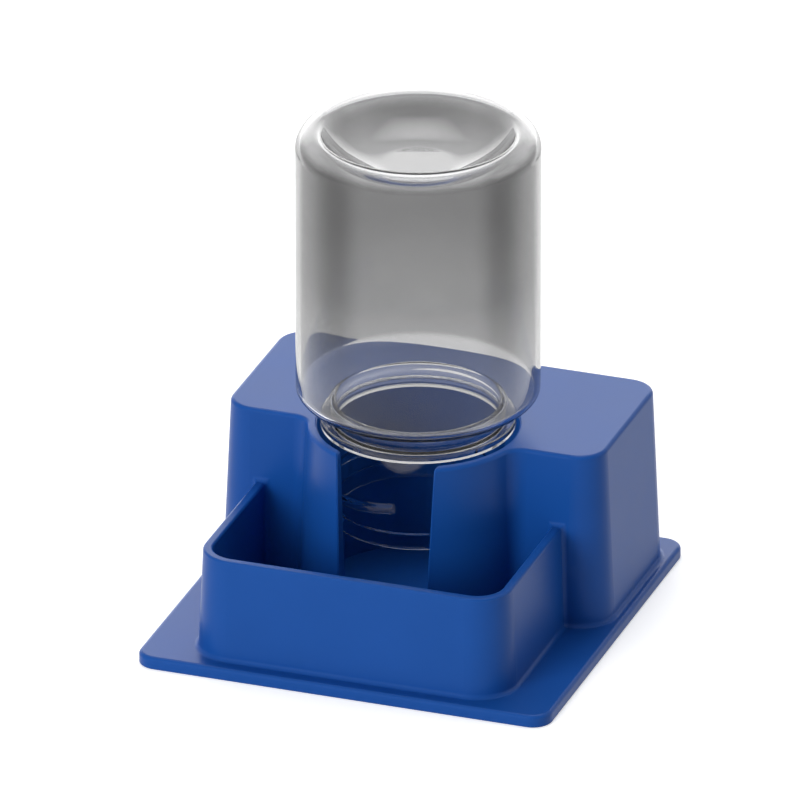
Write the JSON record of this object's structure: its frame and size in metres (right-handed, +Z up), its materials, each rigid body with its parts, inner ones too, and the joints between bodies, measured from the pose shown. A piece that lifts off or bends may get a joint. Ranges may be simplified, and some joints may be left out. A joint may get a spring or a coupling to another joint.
{
  "type": "reptile water dispenser",
  "caption": "Gravity water dispenser for small animals: a moulded base with an open trough and a slotted round well, and a clear bottle standing upside down in the well.",
  "frame": {"origin": "centre of the flange's underside, on the surface that the dispenser stands on", "axes": "+Z up along the bottle, -Y towards the trough, +X to the right when seen from the trough's side"},
  "size_m": [0.1064, 0.1064, 0.127],
  "materials": {
    "blue_plastic": "satin",
    "clear_plastic": "clear gloss"
  },
  "bodies": {
    "base": {"base": "blue_plastic"},
    "bottle": {"bottle": "clear_plastic"}
  },
  "joints": [
    {"name": "bottle_lift", "type": "slide", "parent": "base", "child": "bottle", "axis": [0, 0, 1], "range_m": [0, 0.06]}
  ]
}
